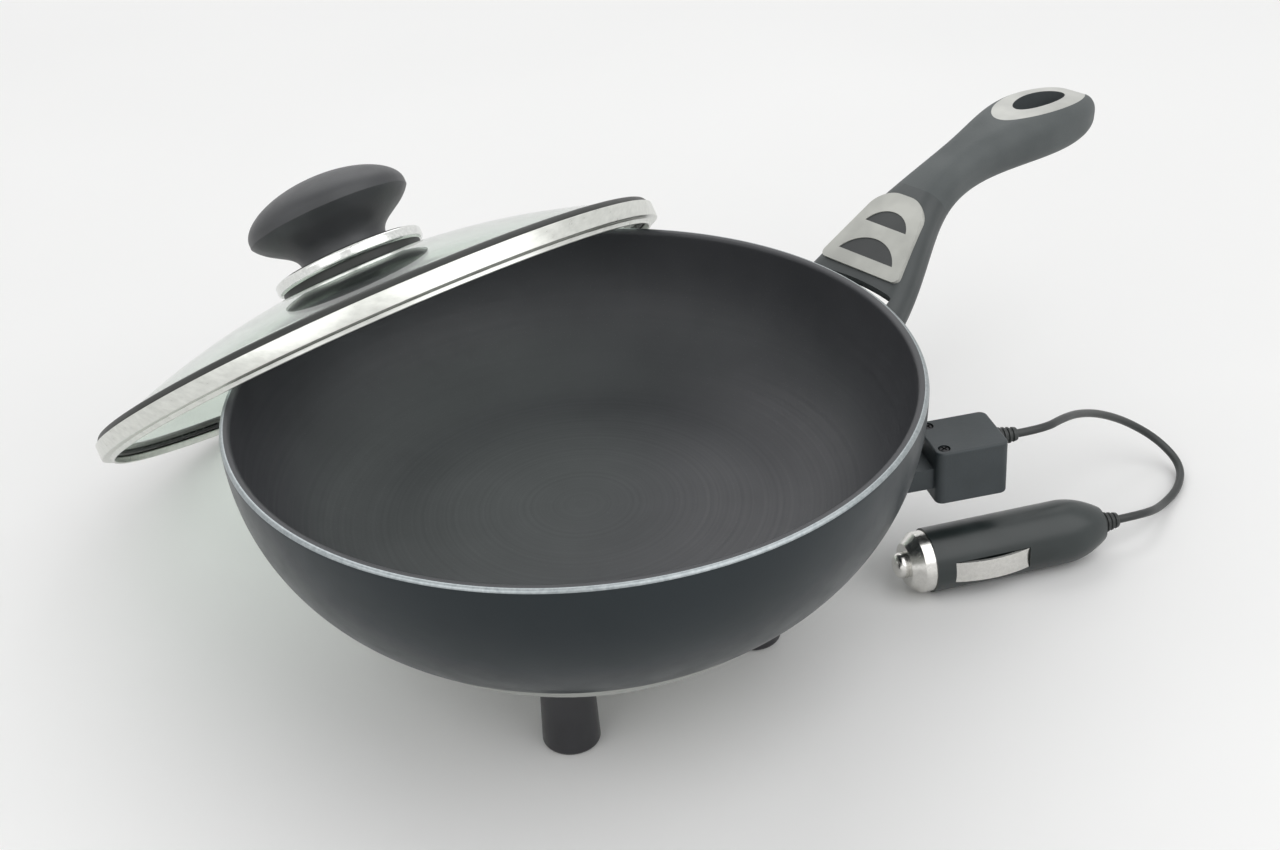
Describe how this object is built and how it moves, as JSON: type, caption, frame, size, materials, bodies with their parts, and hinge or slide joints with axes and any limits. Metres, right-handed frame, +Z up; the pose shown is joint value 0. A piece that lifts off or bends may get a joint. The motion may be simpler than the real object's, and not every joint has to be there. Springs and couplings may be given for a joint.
{
  "type": "low-voltage electric skillet",
  "caption": "Small plug-in electric skillet: round non-stick bowl on four feet, angled handle, glass lid leaning on the rim, side terminal box, short cord with a vehicle-socket plug",
  "frame": {"origin": "on the table, under the middle of the bowl, level with the feet's soles", "axes": "+Z up along the bowl's axis, +X towards the handle's end, +Y towards the side where the lid leans"},
  "size_m": [0.3339, 0.2917, 0.1224],
  "materials": {
    "pan_coating": "satin non-stick coating, black inside, charcoal outside",
    "base_metal": "satin",
    "foot_plastic": "semi-gloss moulded",
    "fixing_steel": "plain",
    "heater_steel": "dull sheath",
    "spreader_metal": "mill",
    "insulation": "matt fibre board",
    "thermostat_case": "matt phenolic",
    "lead_sleeve": "matt glass-fibre sleeve",
    "box_plastic": "fine matt",
    "strip_plastic": "matt ceramic-filled",
    "cord_rubber": "smooth, slight sheen",
    "plug_plastic": "moulded, semi-gloss",
    "contact_metal": "nickel plated",
    "fuse_glass": "clear tube with metal caps",
    "bracket_metal": "bright satin",
    "handle_rubber": "soft matt",
    "inlay_plastic": "silver painted",
    "insert_rubber": "soft matt",
    "ring_plastic": "silver painted",
    "lid_glass": "clear tempered, faint green edge",
    "lid_steel": "bright rolled band",
    "seal_rubber": "black silicone",
    "knob_plastic": "fine matt phenolic",
    "knob_chrome": "polished"
  },
  "bodies": {
    "pan": {"pan_body": "pan_coating", "bottom_cover": "base_metal", "foot_1": "foot_plastic", "foot_2": "foot_plastic", "foot_3": "foot_plastic", "foot_4": "foot_plastic", "foot_screws": "fixing_steel", "heating_element": "heater_steel", "heat_spreader": "spreader_metal", "insulation_disc": "insulation", "thermostat": "thermostat_case", "live_lead": "lead_sleeve", "return_lead": "lead_sleeve", "jumper_lead": "lead_sleeve", "terminal_box": "box_plastic", "box_cover": "box_plastic", "box_screws": "fixing_steel", "terminal_strip": "strip_plastic", "strip_screws": "fixing_steel", "cord_bushing": "cord_rubber", "plug_shell_top": "plug_plastic", "plug_shell_bottom": "plug_plastic", "plug_sleeve": "cord_rubber", "rear_contact": "contact_metal", "contact_spring": "contact_metal", "nose_ring": "contact_metal", "cord": "cord_rubber", "handle_bracket": "bracket_metal", "handle_inlay": "inlay_plastic", "inlay_inserts": "insert_rubber", "handle_core": "handle_rubber", "handle_screw": "fixing_steel", "hang_ring": "ring_plastic", "handle_grip": "handle_rubber"},
    "lid": {"lid_glass": "lid_glass", "lid_band": "lid_steel", "lid_seal": "seal_rubber", "knob_gasket": "seal_rubber", "knob_base": "knob_chrome", "knob": "knob_plastic", "knob_washer": "seal_rubber", "knob_screw": "fixing_steel"},
    "plug_tip": {"tip_pin": "contact_metal", "fuse": "fuse_glass"},
    "contact_left": {"side_contact_left": "contact_metal"},
    "contact_right": {"side_contact_right": "contact_metal"}
  },
  "joints": [
    {"name": "lid_lift", "type": "slide", "parent": "pan", "child": "lid", "axis": [0, 0, 1], "range_m": [0, 0.12]},
    {"name": "tip_push", "type": "slide", "parent": "pan", "child": "plug_tip", "axis": [0.8949, -0.4462, 0], "range_m": [0, 0.0025], "stiffness_N_per_m": 900, "springref_m": -0.001, "deforming": ["contact_spring"]},
    {"name": "left_contact_press", "type": "slide", "parent": "pan", "child": "contact_left", "axis": [0.4462, 0.8949, 0], "range_m": [0, 0.001], "stiffness_N_per_m": 600, "springref_m": -0.001},
    {"name": "right_contact_press", "type": "slide", "parent": "pan", "child": "contact_right", "axis": [-0.4462, -0.8949, 0], "range_m": [0, 0.001], "stiffness_N_per_m": 600, "springref_m": -0.001}
  ]
}
